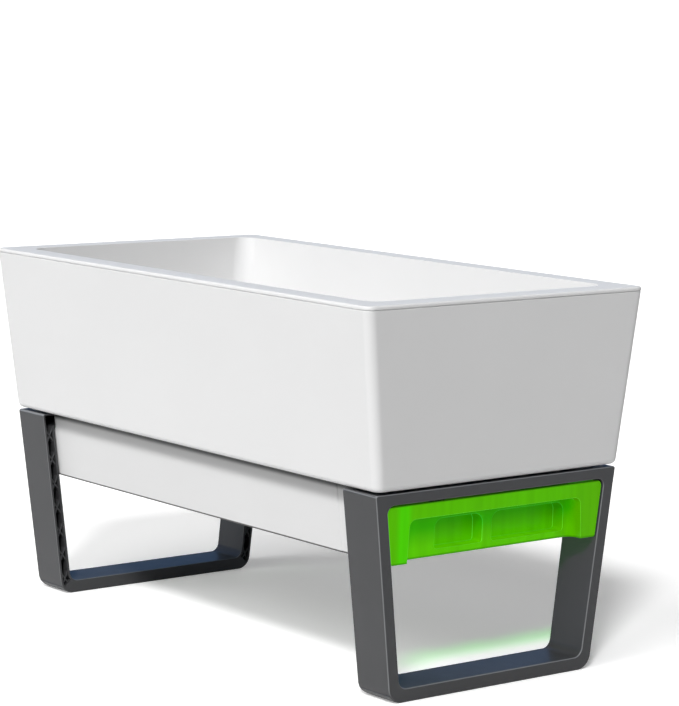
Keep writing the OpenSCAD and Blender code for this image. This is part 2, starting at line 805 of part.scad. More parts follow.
// Perforated pot that hangs in the liner's floor
module wick_pot(x) {
    h = liner_top_z - pot_base_z;
    inner_base_r = pot_r - pot_draft - pot_wall;
    color("darkslategray")
    translate([x, 0, 0])
    difference() {
        union() {
            translate([0, 0, pot_base_z])
                cylinder(r1 = pot_r - pot_draft, r2 = pot_r, h = h);
            translate([0, 0, liner_top_z])
                cylinder(r = pot_flange_r, h = pot_flange_t);
        }
        translate([0, 0, pot_base_z + pot_wall])
            cylinder(r1 = inner_base_r, r2 = pot_r - pot_wall, h = h + pot_flange_t);
        for (i = [0 : slot_count - 1])
            rotate(360 * (i + 1 / 2) / slot_count)
                translate([inner_base_r - pot_wall, -slot_w / 2, pot_base_z + 2 * pot_wall])
                    cube([pot_draft + 3 * pot_wall, slot_w, slot_h]);
        for (i = [0 : slot_count - 1])
            rotate(360 * (i + 1 / 2) / slot_count)
                translate([inner_base_r - 2 * drain_r, 0, pot_base_z - cut])
                    cylinder(r = drain_r, h = pot_wall + 2 * cut, $fn = soft_fn);
        translate([-wick_t / 2 - wick_gap, -wick_w / 2 - wick_gap, pot_base_z - cut])
            cube([wick_t + 2 * wick_gap, wick_w + 2 * wick_gap, pot_wall + 2 * cut]);
    }
}

// Felt strip from the pot down into the tray
module wick(x) {
    z0 = tray_base_z + tray_wall + wick_lift;
    color("gainsboro")
    translate([x - wick_t / 2, -wick_w / 2, z0])
        cube([wick_t, wick_w, pot_top_z + wick_rise - z0]);
}

// Pan-head screw with a cross recess, head down at z
module screw(z, tip_z) {
    recess_w = screw_head_h / 3;
    difference() {
        union() {
            translate([0, 0, z - screw_head_h])
                cylinder(r = screw_head_r, h = screw_head_h);
            translate([0, 0, z])
                cylinder(r = screw_r, h = tip_z - z);
        }
        for (a = [0, 90])
            rotate(a)
                translate([-screw_r, -recess_w / 2, z - screw_head_h - cut])
                    cube([2 * screw_r, recess_w, screw_head_h / 2 + cut]);
    }
}
screw_tip_z = floor_top_z + screw_bite;
module frame_screws() {
    color("silver")
    at_frame_screws()
        screw(frame_h - frame_wall, screw_tip_z);
}
module apron_screws() {
    color("silver")
    at_apron_screws()
        screw(base_z - apron_wall, screw_tip_z);
}

planter_shell();
soil_liner();
rotate(180) leg_frame();  // leg_frame_left
leg_frame();  // leg_frame_right
rotate(180) side_apron();  // side_apron_front
side_apron();  // side_apron_back
rotate(180) water_tray();  // water_tray_left
water_tray();  // water_tray_right
wick_pot(-pot_outer_x);  // wick_pot_1
wick_pot(-pot_inner_x);  // wick_pot_2
wick_pot(pot_inner_x);  // wick_pot_3
wick_pot(pot_outer_x);  // wick_pot_4
wick(-pot_outer_x);  // wick_1
wick(-pot_inner_x);  // wick_2
wick(pot_inner_x);  // wick_3
wick(pot_outer_x);  // wick_4
rotate(180) frame_screws();  // frame_screws_left
frame_screws();  // frame_screws_right
rotate(180) apron_screws();  // apron_screws_front
apron_screws();  // apron_screws_back
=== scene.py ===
import math
import bmesh
import bpy
import numpy as np
from mathutils import Matrix, Vector


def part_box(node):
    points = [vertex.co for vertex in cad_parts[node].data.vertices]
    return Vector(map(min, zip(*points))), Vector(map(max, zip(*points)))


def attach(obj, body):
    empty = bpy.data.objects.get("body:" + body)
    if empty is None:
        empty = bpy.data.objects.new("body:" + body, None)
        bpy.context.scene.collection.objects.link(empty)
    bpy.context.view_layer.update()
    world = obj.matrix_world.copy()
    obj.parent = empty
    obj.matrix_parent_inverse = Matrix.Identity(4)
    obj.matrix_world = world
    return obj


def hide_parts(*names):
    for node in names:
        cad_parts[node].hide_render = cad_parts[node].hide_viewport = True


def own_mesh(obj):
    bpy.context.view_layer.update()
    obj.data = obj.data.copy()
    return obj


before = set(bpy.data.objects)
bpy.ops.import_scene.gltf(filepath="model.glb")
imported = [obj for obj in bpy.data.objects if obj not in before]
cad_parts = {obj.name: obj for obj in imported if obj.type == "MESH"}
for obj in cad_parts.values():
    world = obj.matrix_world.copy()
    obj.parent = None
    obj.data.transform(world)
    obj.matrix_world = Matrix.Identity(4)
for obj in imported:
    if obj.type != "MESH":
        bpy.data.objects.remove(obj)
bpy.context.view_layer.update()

# Leg frames
# Two loops of charcoal polypropylene, each moulded in one piece: smooth outside, with an open channel
# inside that X ribs stiffen, pockets under the foot bar, and bosses for the screws in the top bar.
mm = 0.001
smooth_angle = math.radians(35)
weld = 0.002 * mm
hair = 0.05 * mm
frame_half, frame_height, leg_lean = 230.5 * mm, 308 * mm, 37.5 / 308
outer_foot_x, outer_top_x = 475 * mm, 482 * mm
inner_foot_x, inner_top_x = 403 * mm, 405 * mm
leg_w, foot_bar_h, top_bar_h, moulding_wall = 19.5 * mm, 20.5 * mm, 17 * mm, 4 * mm
foot_r, crown_r, window_foot_r, window_crown_r = 24 * mm, 3 * mm, 15 * mm, 12 * mm
frame_edge_r, inner_edge_r, edge_steps = 1.7 * mm, 0.85 * mm, 3
arc_points, foot_points, leg_points, crown_points, bar_points = 15, 16, 12, 46, 8
channel_start = 9
pocket_count, pocket_reach, pocket_top = 6, 162 * mm, 16.5 * mm
rib_count, rib_pitch, rib_top_z = 7, 40.96 * mm, 271 * mm
rib_h, rib_t, rib_recess, rib_edge_r = 20 * mm, 2.4 * mm, 2 * mm, 0.5 * mm
bar_rib_x, bar_rib_z = (406.5 * mm, 479 * mm), (293 * mm, 305 * mm)
bar_rib_y = (-115 * mm, 0, 115 * mm)
bar_screw_x, bar_screw_y = 443.5 * mm, (-170.1 * mm, -59.9 * mm, 59.9 * mm, 170.1 * mm)
screw_hole_r, screw_hole_z = 5.4 * mm, 285 * mm
boss_r, boss_bore_r, boss_z = 9.4 * mm, 1.01 * screw_hole_r, (294.5 * mm, 305 * mm)
turned_points = 40


def half_at(z):
    """Half width of a frame at height z: it leans in from the top to the foot by leg_lean."""
    return frame_half - leg_lean * (frame_height - z)


def lean_corner(inset, z_edge, r, up):
    """Arc of a round corner between a leaning side and a level edge, from the side to the edge: the
    centre lies r from the edge and r from the side, and the arc turns from the side's normal."""
    lean = math.atan(leg_lean)
    z = z_edge - up * r
    centre = np.array([half_at(z) - inset - r / math.cos(lean), z])
    a = np.linspace(-lean, up * math.pi / 2, arc_points)[:, None]
    return centre + r * np.concatenate([np.cos(a), np.sin(a)], 1)


def even_steps(line, count):
    """count points at even distances along a line of points, ends kept."""
    run = np.concatenate([[0], np.cumsum(np.linalg.norm(np.diff(line, axis=0), axis=1))])
    t = np.linspace(0, run[-1], count)
    return np.stack([np.interp(t, run, line[:, 0]), np.interp(t, run, line[:, 1])], 1)


def level_line(y, z):
    """Points of a level line: the places y across, all at the height z."""
    return np.stack([y, 0 * y + z], 1)


def foot_bar_stations(foot_y):
    """Places across from the middle of the foot bar to foot_y, two at each wall of its pockets, one on
    either side of the step, and a flag for each that is 1 where a pocket is open."""
    pitch = 2 * pocket_reach / pocket_count
    first = (pocket_count % 2) * pitch / 2
    centre = first + pitch * np.arange(pocket_count // 2 + 1)
    wall_y = (centre[:, None] + [-moulding_wall / 2, moulding_wall / 2]).ravel()
    open_flags = np.tile([[1, 0], [0, 1]], (len(centre), 1))
    kept = (wall_y > 0) & (wall_y < foot_y)
    y = np.concatenate([[0], np.repeat(wall_y[kept], 2), [foot_y]])
    return y, np.concatenate([[0], open_flags[kept].ravel(), [0]])


def frame_stations():
    """Matched points round the right half of the outer outline and of the window, from the middle of
    the foot bar to the middle of the top bar, and flags for where the channel and a pocket are open."""
    window_foot = lean_corner(leg_w, foot_bar_h, window_foot_r, -1)[::-1]
    window_crown = lean_corner(leg_w, frame_height - top_bar_h, window_crown_r, 1)
    foot_y, foot_z = window_foot[0, 0], window_foot[-1, 1]
    crown_y, crown_z = window_crown[-1, 0], window_crown[0, 1]
    outer_foot = np.concatenate([[[foot_y, 0]], lean_corner(0, 0, foot_r, -1)[::-1],
        [[half_at(foot_z), foot_z]]])
    outer_crown = np.concatenate([[[half_at(crown_z), crown_z]],
        lean_corner(0, frame_height, crown_r, 1), [[crown_y, frame_height]]])
    bar_y, bar_open = foot_bar_stations(foot_y)
    leg_z = np.linspace(foot_z, crown_z, leg_points)
    top_y = np.linspace(crown_y, 0, bar_points)
    parts = [(level_line(bar_y, 0), level_line(bar_y, foot_bar_h)),
        (even_steps(outer_foot, foot_points), even_steps(window_foot, foot_points)),
        (np.stack([half_at(leg_z), leg_z], 1), np.stack([half_at(leg_z) - leg_w, leg_z], 1)),
        (even_steps(outer_crown, crown_points), even_steps(window_crown, crown_points)),
        (level_line(top_y, frame_height), level_line(top_y, frame_height - top_bar_h))]
    outer = np.concatenate([part[0] for part in parts])
    window = np.concatenate([part[1] for part in parts])
    channel = np.zeros(len(outer))
    channel[len(bar_y) + channel_start:] = 1
    pocket = np.zeros(len(outer))
    pocket[:len(bar_y)] = bar_open
    return outer, window, channel, pocket


def round_turn(steps):
    """Two shares along a quarter round: 1 - cos a grows from 0 to 1, and 1 - sin a sinks from 1 to 0."""
    a = np.linspace(0, math.pi / 2, steps + 1)
    return 1 - np.cos(a), 1 - np.sin(a)


def swept_frame():
    """The frame's surface: at each station a closed section runs from the outer outline to the window.
    A section point is a distance across from one or the other, and a depth from the outer face or the
    inner one; the channel and the pockets are section points that sink where their flag is 1. The
    second array is 1 on the rounded edges, those along the crown's corners too, and 0 elsewhere."""
    outer, window, channel, pocket = frame_stations()
    mirrored = np.array([-1.0, 1.0])
    outer = np.concatenate([outer, (outer * mirrored)[::-1][1:-1]])
    window = np.concatenate([window, (window * mirrored)[::-1][1:-1]])
    channel = np.concatenate([channel, channel[::-1][1:-1]])[:, None]
    pocket = np.concatenate([pocket, pocket[::-1][1:-1]])[:, None]
    grow, sink = round_turn(edge_steps)
    r, inner_r, wall = frame_edge_r, inner_edge_r, moulding_wall
    # columns: from the window (1) or the outline (0), distance, from the inner face (1) or outer (0),
    # depth, sinks with the channel, sinks with the pocket
    rows = [(0, a, 0, b, 0, 0) for a, b in zip(r * grow, r * sink)]
    rows += [(1, a, 0, b, 0, 0) for a, b in zip(r * sink, r * grow)]
    rows += [(1, a, 1, b, 0, 0) for a, b in zip(inner_r * grow, inner_r * sink)]
    rows += [(1, wall, 1, 0, 0, 0), (1, wall, 0, wall, 1, 0), (0, wall, 0, wall, 1, 0),
        (0, wall, 1, 0, 0, 0)]
    rows += [(0, a, 1, b, 0, 0) for a, b in zip(inner_r * sink, inner_r * grow)]
    rows += [(0, 0, 1, wall, 0, 0), (0, pocket_top, 1, wall, 0, 1), (0, pocket_top, 0, wall, 0, 1),
        (0, 0, 0, wall, 0, 0)]
    from_window, run, from_inner, depth, in_channel, in_pocket = np.array(rows).T[:, None, :]
    width = np.linalg.norm(window - outer, axis=1)[:, None]
    inward = (window - outer) / width
    shut = 1 - in_pocket * (1 - pocket)
    across = np.where(from_window > 0, width - run, run * shut)
    yz = outer[:, None, :] + inward[:, None, :] * across[:, :, None]
    z = yz[:, :, 1]
    x_out = outer_foot_x + (outer_top_x - outer_foot_x) * z / frame_height
    x_in = inner_foot_x + (inner_top_x - inner_foot_x) * z / frame_height
    closed = in_channel * (1 - channel)
    x = np.where((from_inner > 0) | (closed > 0), x_in + depth * (1 - closed), x_out - depth)
    # The edge values mark where the charcoal finish paints a highlight.
    on_round = [0] + [1] * (edge_steps - 1) + [0]
    edge = np.array(on_round * 3 + [0] * 4 + on_round + [0] * 4) + 0 * z
    at_crown = (outer[:, 1] > frame_height - crown_r) & (outer[:, 1] < frame_height - hair)
    on_outline = (from_window + run)[0] < hair
    return np.stack([x, yz[:, :, 0], z], 2), np.maximum(edge, np.outer(at_crown, on_outline))


def ring_faces(rings, count, closed):
    """Quads between neighbouring rings of count points; closed joins the last ring to the first."""
    i, j = np.meshgrid(np.arange(rings if closed else rings - 1), np.arange(count), indexing="ij")
    k, m = (j + 1) % count, (i + 1) % rings
    return np.stack([i * count + j, i * count + k, m * count + k, m * count + j], 2).reshape(-1, 4)


def box_faces(count):
    """Faces of count boxes whose eight corners run along three axes in binary order."""
    sides = np.array([[0, 1, 3, 2], [4, 6, 7, 5], [0, 4, 5, 1], [2, 3, 7, 6], [0, 2, 6, 4], [1, 5, 7, 3]])
    return (np.arange(count)[:, None, None] * 8 + sides[None]).reshape(-1, 4)


def repeat_faces(faces, copies, size, start=0):
    """Faces of copies of one shape, whose points follow each other by size from the point start."""
    return [[start + size * copy + corner for corner in face] for copy in range(copies) for face in faces]


def turned_ring(profile):
    """Points of a profile of radius and height turned round the upright axis."""
    a = np.linspace(0, 2 * math.pi, turned_points, endpoint=False)[:, None]
    r, z = np.asarray(profile).T[:, None, :]
    return np.stack([r * np.cos(a), r * np.sin(a), z + 0 * a], 2)


def leg_ribs():
    """Corner points of the X ribs' arms: for each leg, crossing and arm, a bar in the plane across the
    frame, turned from the leaning leg by the rib's slope, and as deep as the channel."""
    side, number, slope, run, thick, deep = np.meshgrid(
        [-1, 1], np.arange(rib_count), [-1, 1], [-1, 1], [-1, 1], [0, 1], indexing="ij")
    channel_w = leg_w - 2 * moulding_wall
    cross_z = rib_top_z - number * rib_pitch
    cross_y = half_at(cross_z) - leg_w / 2
    angle = slope * math.atan(rib_h / channel_w) - math.atan(leg_lean)
    half_run = (channel_w + moulding_wall) / channel_w * math.hypot(channel_w, rib_h) / 2
    y = cross_y + run * half_run * np.cos(angle) - thick * rib_t / 2 * np.sin(angle)
    z = cross_z + run * half_run * np.sin(angle) + thick * rib_t / 2 * np.cos(angle)
    x_in = inner_foot_x + (inner_top_x - inner_foot_x) * z / frame_height + rib_recess
    x_out = outer_foot_x + (outer_top_x - outer_foot_x) * z / frame_height - moulding_wall / 2
    return np.stack([np.where(deep > 0, x_out, x_in), side * y, z], -1).reshape(-1, 8, 3)


def placed(name, data):
    """A new object at the origin that holds a mesh, a lamp or a camera."""
    holder = bpy.data.objects.new(name, data)
    bpy.context.scene.collection.objects.link(holder)
    return holder


def finished(name, mesh, finish, sharp=smooth_angle):
    """A piece from a mesh: it wears finish, and its shading is smooth but for edges beyond sharp."""
    mesh.materials.clear()
    mesh.materials.append(finish)
    mesh.shade_smooth()
    mesh.set_sharp_from_angle(angle=sharp)
    return placed(name, mesh)


def new_piece(name, points, faces, finish, turn=False, edge=None, sharp=smooth_angle):
    """A piece from points and faces: doubles merged, slivers removed, normals outwards. turn puts it
    half a turn round the upright axis, for the far end, and edge is kept as a value of each point."""
    points = np.asarray(points).reshape(-1, 3) * ([-1, -1, 1] if turn else [1, 1, 1])
    mesh = bpy.data.meshes.new(name)
    mesh.from_pydata(points.tolist(), [], [list(face) for face in faces])
    if edge is not None:
        mesh.attributes.new("edge", "FLOAT", "POINT").data.foreach_set("value", edge.ravel())
    shape = bmesh.new()
    shape.from_mesh(mesh)
    bmesh.ops.remove_doubles(shape, verts=shape.verts, dist=weld)
    bmesh.ops.dissolve_degenerate(shape, dist=weld, edges=shape.edges)
    bmesh.ops.recalc_face_normals(shape, faces=shape.faces)
    shape.to_mesh(mesh)
    shape.free()
    return finished(name, mesh, finish, sharp)


def soft_edges(piece, width):
    """Rounds every edge that is sharper than smooth_angle by width, if width is not zero, and lets the
    large faces lead the shading.
    """
    if width:
        bevel = piece.modifiers.new("rounded edges", "BEVEL")
        bevel.width = width
        bevel.segments = 2
        bevel.limit_method = "ANGLE"
        bevel.angle_limit = smooth_angle
        bevel.use_clamp_overlap = False
        bevel.loop_slide = False
    shading = piece.modifiers.new("shading", "WEIGHTED_NORMAL")
    shading.keep_sharp = True


def new_group(name, inputs, outputs):
    """An empty shader node group with the named inputs (kind and default) and outputs."""
    group = bpy.data.node_groups.new(name, "ShaderNodeTree")
    for label, kind, default in inputs:
        socket = group.interface.new_socket(label, in_out="INPUT", socket_type=kind)
        socket.default_value = default
    for label, kind in outputs:
        group.interface.new_socket(label, in_out="OUTPUT", socket_type=kind)
    return group, group.nodes.new("NodeGroupInput"), group.nodes.new("NodeGroupOutput")


def add_node(tree, kind, links=(), **settings):
    """One shader node, its settings, and links from other nodes' outputs into its named inputs."""
    node = tree.nodes.new(kind)
    for key, value in settings.items():
        if key.startswith("in_"):
            sockets = [s for s in node.inputs if s.name == key[3:].replace("_", " ") and s.enabled]
            sockets[0].default_value = value
        else:
            setattr(node, key, value)
    for target, source in links:
        socket = node.inputs[target] if isinstance(target, int) else [
            s for s in node.inputs if s.name == target and s.enabled][0]
        tree.links.new(source, socket)
    return node


def place_on(tree):
    """Object coordinates."""
    return add_node(tree, "ShaderNodeTexCoord").outputs["Object"]


def axes_of(tree, vector):
    """The outputs x, y and z of a vector."""
    return add_node(tree, "ShaderNodeSeparateXYZ", [("Vector", vector)]).outputs


def facing_up(tree):
    """How far a surface faces up: 1 on top, 0 on an upright side and -1 underneath."""
    return axes_of(tree, add_node(tree, "ShaderNodeNewGeometry").outputs["Normal"])["Z"]


def between(tree, value, low, high, at_low=0.0, at_high=1.0, blend="LINEAR"):
    """A value that goes from at_low to at_high while another one goes from low to high."""
    return add_node(tree, "ShaderNodeMapRange", [("Value", value)], interpolation_type=blend,
        in_From_Min=low, in_From_Max=high, in_To_Min=at_low, in_To_Max=at_high).outputs[0]


def product(tree, value, *others):
    """The product of two or more values."""
    for other in others:
        value = add_node(tree, "ShaderNodeMath", [(0, value), (1, other)], operation="MULTIPLY").outputs[0]
    return value


def tinted(tree, tone, factor):
    """A tone times a value or times another tone."""
    return add_node(tree, "ShaderNodeVectorMath", [(0, tone), (1, factor)], operation="MULTIPLY").outputs[0]


def mixed(tree, share, first, second):
    """A tone that goes from first to second by share; each is a fixed tone or another node's output."""
    node = add_node(tree, "ShaderNodeMix", [(0, share)], data_type="RGBA")
    for number, tone in ((6, first), (7, second)):
        if isinstance(tone, tuple):
            node.inputs[number].default_value = tone
        else:
            tree.links.new(tone, node.inputs[number])
    return node.outputs[2]


def tone_ramp(tree, share, stops):
    """A tone that goes through stops, each a share and a tone."""
    ramp = add_node(tree, "ShaderNodeValToRGB", [("Fac", share)])
    elements = ramp.color_ramp.elements
    while len(elements) < len(stops):
        elements.new(0.5)
    for element, (position, tone) in zip(elements, stops):
        element.position = position
        element.color = tone
    return ramp.outputs["Color"]


cloud_scale, patch_scale = 5.0, 38.0
noise_low, noise_high = 0.3, 0.7


def make_moulded_skin():
    """Skin of a moulded plastic: the fine grain of the mould as bump, a faint mottle in its tone, and
    a gloss that changes a little over the surface."""
    group, given, made = new_group("moulded_skin", [
        ("Tone", "NodeSocketColor", (0.8, 0.8, 0.8, 1)), ("Mottle", "NodeSocketFloat", 0.02),
        ("Grain Scale", "NodeSocketFloat", 1500), ("Grain Depth", "NodeSocketFloat", 0.02 * mm),
        ("Gloss", "NodeSocketFloat", 0.4), ("Gloss Spread", "NodeSocketFloat", 0.05)],
        [("Color", "NodeSocketColor"), ("Roughness", "NodeSocketFloat"), ("Normal", "NodeSocketVector")])
    place = place_on(group)
    cloud = add_node(group, "ShaderNodeTexNoise", [("Vector", place)], in_Scale=cloud_scale, in_Detail=3.0)
    darkest = add_node(group, "ShaderNodeMath", [(1, given.outputs["Mottle"])], operation="SUBTRACT")
    palest = add_node(group, "ShaderNodeMath", [(1, given.outputs["Mottle"])], operation="ADD")
    for end in (darkest, palest):
        end.inputs[0].default_value = 1
    shade = add_node(group, "ShaderNodeMapRange", [("Value", cloud.outputs["Fac"]),
        ("To Min", darkest.outputs[0]), ("To Max", palest.outputs[0])], in_From_Min=noise_low,
        in_From_Max=noise_high)
    group.links.new(tinted(group, given.outputs["Tone"], shade.outputs[0]), made.inputs["Color"])
    patch = add_node(group, "ShaderNodeTexNoise", [("Vector", place)], in_Scale=patch_scale, in_Detail=4.0)
    centred = add_node(group, "ShaderNodeMath", [(0, patch.outputs["Fac"])], operation="SUBTRACT")
    centred.inputs[1].default_value = 0.5
    gloss = add_node(group, "ShaderNodeMath", [(0, centred.outputs[0]), (1, given.outputs["Gloss Spread"]),
        (2, given.outputs["Gloss"])], operation="MULTIPLY_ADD")
    group.links.new(gloss.outputs[0], made.inputs["Roughness"])
    grain = add_node(group, "ShaderNodeTexNoise", [("Vector", place),
        ("Scale", given.outputs["Grain Scale"])], in_Detail=2.0)
    bump = add_node(group, "ShaderNodeBump", [("Height", grain.outputs["Fac"]),
        ("Distance", given.outputs["Grain Depth"])], in_Strength=1.0)
    group.links.new(bump.outputs[0], made.inputs["Normal"])
    return group


moulded_skin = make_moulded_skin()


def new_finish(name, **sockets):
    """An empty material with one Principled BSDF, whose sockets take the given constants."""
    finish = bpy.data.materials.new(name)
    finish.use_nodes = True
    shader = finish.node_tree.nodes["Principled BSDF"]
    for label, value in sockets.items():
        shader.inputs[label.replace("_", " ")].default_value = value
    return finish, finish.node_tree, shader


def moulded_finish(name, tone, mottle, grain_scale, grain_depth, gloss, gloss_spread, **sockets):
    """A material that wears the moulded skin with its own values; sockets are the shader's constants."""
    finish, tree, shader = new_finish(name, **sockets)
    skin = tree.nodes.new("ShaderNodeGroup")
    skin.node_tree = moulded_skin
    for label, value in (("Tone", tone), ("Mottle", mottle), ("Grain Scale", grain_scale),
                         ("Grain Depth", grain_depth), ("Gloss", gloss), ("Gloss Spread", gloss_spread)):
        skin.inputs[label].default_value = value
    tree.links.new(skin.outputs["Color"], shader.inputs["Base Color"])
    tree.links.new(skin.outputs["Roughness"], shader.inputs["Roughness"])
    tree.links.new(skin.outputs["Normal"], shader.inputs["Normal"])
    return finish, tree, shader


charcoal_tone, charcoal_highlight_tone = (0.05, 0.0505, 0.053, 1), (0.19, 0.195, 0.2, 1)
underside_full, underside_end = -0.5, -0.1
charcoal, tree, shader = moulded_finish("charcoal_polypropylene", charcoal_tone, mottle=0.05,
    grain_scale=1700, grain_depth=0.04 * mm, gloss=0.38, gloss_spread=0.08, Specular_IOR_Level=0.35)
# Painted highlight: the frames' rounded edges and the corners of the crown get a paler tone, except where
# they face down.
paint = shader.inputs["Base Color"]
on_edge = add_node(tree, "ShaderNodeAttribute", attribute_name="edge").outputs["Fac"]
not_below = between(tree, facing_up(tree), underside_full, underside_end)
highlight_share = product(tree, on_edge, not_below)
tree.links.new(mixed(tree, highlight_share, paint.links[0].from_socket, charcoal_highlight_tone), paint)

swept, swept_edge = swept_frame()
swept_faces = ring_faces(swept.shape[0], swept.shape[1], True)
hole = turned_ring([(screw_hole_r, screw_hole_z), (screw_hole_r, boss_z[1])])
boss = turned_ring([(boss_r, boss_z[0]), (boss_r, boss_z[1]), (boss_bore_r, boss_z[1]),
    (boss_bore_r, boss_z[0])])
hole_faces = ring_faces(turned_points, 2, True)[::2].tolist()
hole_faces += [list(range(end, 2 * turned_points, 2)) for end in (0, 1)]
boss_faces = ring_faces(turned_points, 4, True).tolist()
holes, bosses = ([ring.reshape(-1, 3) + [bar_screw_x, y, 0] for y in bar_screw_y] for ring in (hole, boss))
bar_rib = np.stack(np.meshgrid(bar_rib_x, [-rib_t / 2, rib_t / 2], bar_rib_z, indexing="ij"), -1)
ribs = np.concatenate([leg_ribs(), [bar_rib.reshape(8, 3) + [0, y, 0] for y in bar_rib_y]])
stiffener_points = np.concatenate([ribs.reshape(-1, 3)] + bosses)
stiffener_faces = box_faces(len(ribs)).tolist()
stiffener_faces += repeat_faces(boss_faces, len(bosses), 4 * turned_points, 8 * len(ribs))
for side in ("left", "right"):
    turn = side == "left"
    moulding = new_piece(f"frame_moulding_{side}", swept, swept_faces, charcoal, turn, swept_edge)
    bits = new_piece("frame_holes", np.concatenate(holes),
        repeat_faces(hole_faces, len(holes), 2 * turned_points), charcoal, turn)
    drill = moulding.modifiers.new("drill", "BOOLEAN")
    drill.object = bits
    drill.solver = "EXACT"
    cut = moulding.evaluated_get(bpy.context.evaluated_depsgraph_get())
    drilled = bpy.data.meshes.new_from_object(cut)
    moulding.modifiers.clear()
    moulding.data = drilled
    bpy.data.objects.remove(bits)
    soft_edges(moulding, 0)
    stiffeners = new_piece(f"frame_ribs_{side}", stiffener_points, stiffener_faces, charcoal, turn)
    soft_edges(stiffeners, rib_edge_r)
    for piece in (moulding, stiffeners):
        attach(piece, "planter")
    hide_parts(f"leg_frame_{side}")

# Planter shell
# The outer box, moulded in satin white polypropylene: four tapered walls, and a floor whose ribs and
# bosses take the screws. It rests on the frames' top bars.
cad_weld = 0.02 * mm
flat_angle = math.radians(0.05)
shell_edge_r = 0.6 * mm
shell_foot_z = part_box("planter_shell")[0].z
foot_band, foot_painted_light = (7.5 * mm, 11.5 * mm), 1.33


def moulded_copy(name, node, body, finish, edge_r):
    """The CAD node's own surface as a moulding: its triangles are merged at their corners, those that
    lie in one plane become one face, and every edge sharper than smooth_angle gets the radius edge_r."""
    shape = bmesh.new()
    shape.from_mesh(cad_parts[node].data)
    bmesh.ops.remove_doubles(shape, verts=shape.verts, dist=cad_weld)
    bmesh.ops.dissolve_limit(shape, angle_limit=flat_angle, verts=shape.verts, edges=shape.edges)
    mesh = bpy.data.meshes.new(name)
    shape.to_mesh(mesh)
    shape.free()
    piece = finished(name, mesh, finish)
    soft_edges(piece, edge_r)
    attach(piece, body)
    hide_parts(node)
    return piece


def shade_by_height(tree, paint, bands):
    """Multiplies the tone that feeds paint by bands, each with the heights where it starts and ends,
    the factors there, and the blend between them."""
    height = axes_of(tree, place_on(tree))["Z"]
    for low, high, at_low, at_high, blend in bands:
        band = between(tree, height, low, high, at_low, at_high, blend)
        tree.links.new(tinted(tree, paint.links[0].from_socket, band), paint)


satin = {"mottle": 0.008, "grain_scale": 1400, "grain_depth": 0.03 * mm, "gloss": 0.36,
    "gloss_spread": 0.06, "Specular_IOR_Level": 0.25}
white, tree, shader = moulded_finish("white_polypropylene", (0.74, 0.74, 0.74, 1), **satin)
# Painted light: the shell's rounded foot is a third paler, for the light that the floor throws up onto it.
shade_by_height(tree, shader.inputs["Base Color"],
    [(shell_foot_z + foot_band[0], shell_foot_z + foot_band[1], foot_painted_light, 1.0, "SMOOTHSTEP")])
moulded_copy("shell_moulding", "planter_shell", "planter", white, shell_edge_r)

# Side aprons
# A panel of white polypropylene on each long side that hides the trays. It hangs from the shell's
# floor, its inner rail carries the trays, and a tongue at each end closes the gap behind the leg.
apron_inset, apron_wall, apron_foot_z, apron_top_z = 21.5 * mm, 3 * mm, 203.5 * mm, 312 * mm
tongue_x, tongue_top_z = 412 * mm, 283 * mm
apron_edge_r, tongue_edge_r = 0.5 * mm, 0.3 * mm
lee_drop, lee_shade = (37 * mm, 20 * mm), 0.72
shadow_line_drop, shadow_line_shade = (15 * mm, 7 * mm), 0.15
foot_shade_band, foot_shade = (2 * mm, 3 * mm), 0.12
# The aprons wear the shell's white a little darker, as painted shade for the light that the box above keeps
# off them.
apron_shaded_white, tree, shader = moulded_finish("apron_polypropylene", (0.685, 0.685, 0.685, 1), **satin)
# Painted shade: a soft shadow below the box's overhang, a dark shadow line just under the box's edge, and a
# dark line along the panel's foot.
shade_by_height(tree, shader.inputs["Base Color"], [
    (apron_top_z - lee_drop[0], apron_top_z - lee_drop[1], 1.0, lee_shade, "SMOOTHSTEP"),
    (apron_top_z - shadow_line_drop[0], apron_top_z - shadow_line_drop[1], 1.0, shadow_line_shade, "SMOOTHSTEP"),
    (apron_foot_z + foot_shade_band[0], apron_foot_z + foot_shade_band[1], foot_shade, 1.0, "LINEAR")])
for side in ("front", "back"):
    node = f"side_apron_{side}"
    moulded_copy(f"apron_moulding_{side}", node, "planter", apron_shaded_white, apron_edge_r)
    reach = max(abs(corner.x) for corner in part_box(node))
    facing = -1 if side == "front" else 1
    end, x, z, depth = np.meshgrid([-1, 1], [reach, tongue_x], [apron_foot_z, tongue_top_z],
        [0, apron_wall], indexing="ij")
    tongue = np.stack([end * x, facing * (half_at(z) - apron_inset - depth), z], -1).reshape(-1, 8, 3)
    tongues = new_piece(f"apron_tongues_{side}", tongue, box_faces(2), apron_shaded_white)
    soft_edges(tongues, tongue_edge_r)
    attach(tongues, "planter")

# Screws
# Pan-head screws of zinc-plated steel, driven up into the shell's floor from below: four through each
# frame's top bar and four through each apron's flange.
screw_edge_r = 0.25 * mm
zinc_smoothest, zinc_dullest = 0.22, 0.45
zinc_tones = ((0.0, (0.42, 0.44, 0.47, 1)), (1.0, (0.72, 0.73, 0.74, 1)))
zinc, tree, shader = new_finish("zinc_plated_steel", Metallic=1.0)
patina = add_node(tree, "ShaderNodeTexNoise", [("Vector", place_on(tree))], in_Scale=900.0, in_Detail=4.0)
tree.links.new(tone_ramp(tree, patina.outputs["Fac"], zinc_tones), shader.inputs["Base Color"])
zinc_gloss = between(tree, patina.outputs["Fac"], 0.0, 1.0, zinc_smoothest, zinc_dullest)
tree.links.new(zinc_gloss, shader.inputs["Roughness"])
for node in ("frame_screws_left", "frame_screws_right", "apron_screws_front", "apron_screws_back"):
    moulded_copy(node.replace("screws", "screw_set"), node, "planter", zinc, screw_edge_r)

# Inner liner
# The tub that hangs in the shell by its wide flat rim, which covers the shell's edge. White
# polypropylene like the shell, with a slightly coarser grain.
liner_edge_r = 0.5 * mm
